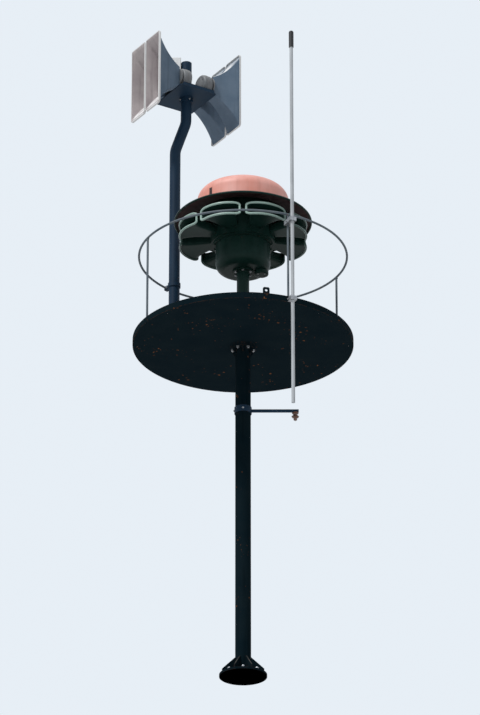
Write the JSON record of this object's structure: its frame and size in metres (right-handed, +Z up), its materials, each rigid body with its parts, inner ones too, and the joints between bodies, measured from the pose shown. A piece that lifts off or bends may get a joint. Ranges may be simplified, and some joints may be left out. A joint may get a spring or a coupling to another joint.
{
  "type": "civil defense siren tower",
  "caption": "Round service platform on a flanged steel column, with a rotary siren of flared horns under a domed cap, a side mast of loudspeaker horns and an aerial rod.",
  "frame": {"origin": "middle of the underside of the column's foot flange, on the floor it is bolted to", "axes": "+Z up along the column; +X to the right and +Y away from the picture's viewer, so the aerial rod is at the front right and the side mast at the back left"},
  "size_m": [2.0549, 2.034, 6.555],
  "materials": {
    "siren_green": "weathered satin green paint",
    "cap_red": "sun-faded orange-red paint",
    "platform_dark": "very dark green paint with rust specks",
    "guard_steel": "dull grey-blue paint",
    "mast_blue": "dark blue-black paint",
    "speaker_grey": "light grey moulded shell",
    "box_white": "white enamel",
    "driver_grey": "mid grey paint",
    "rod_white": "pale weathered tube",
    "tip_black": "matt black",
    "galvanised": "dull hot-dip zinc",
    "insulator_porcelain": "brown glaze"
  },
  "bodies": {
    "root": {"base_flange": "platform_dark", "column": "platform_dark", "column_flange": "platform_dark", "platform_hub": "platform_dark", "platform_deck": "platform_dark", "platform_rim": "platform_dark", "guard_hoop": "guard_steel", "guard_post_1": "guard_steel", "guard_post_2": "guard_steel", "guard_post_3": "guard_steel", "guard_post_4": "guard_steel", "siren_pedestal": "siren_green", "motor_housing": "siren_green", "terminal_cover": "siren_green", "stator_drum": "siren_green", "cap_support": "siren_green", "siren_horn_1": "siren_green", "siren_horn_2": "siren_green", "siren_horn_3": "siren_green", "siren_horn_4": "siren_green", "siren_horn_5": "siren_green", "siren_horn_6": "siren_green", "siren_horn_7": "siren_green", "siren_horn_8": "siren_green", "dome_cap": "cap_red", "mast_foot": "mast_blue", "speaker_mast": "mast_blue", "mast_hoop_clamp": "mast_blue", "speaker_cradle": "mast_blue", "junction_box": "box_white", "rim_lug": "platform_dark", "speaker_horn_1": "speaker_grey", "speaker_driver_1": "driver_grey", "speaker_horn_2": "speaker_grey", "speaker_driver_2": "driver_grey", "speaker_horn_3": "speaker_grey", "speaker_driver_3": "driver_grey", "speaker_horn_4": "speaker_grey", "speaker_driver_4": "driver_grey", "aerial_rod": "rod_white", "aerial_tip": "tip_black", "rod_clamp_upper": "galvanised", "rod_clamp_lower": "galvanised", "side_arm": "mast_blue", "arm_insulator": "insulator_porcelain"}
  },
  "joints": []
}
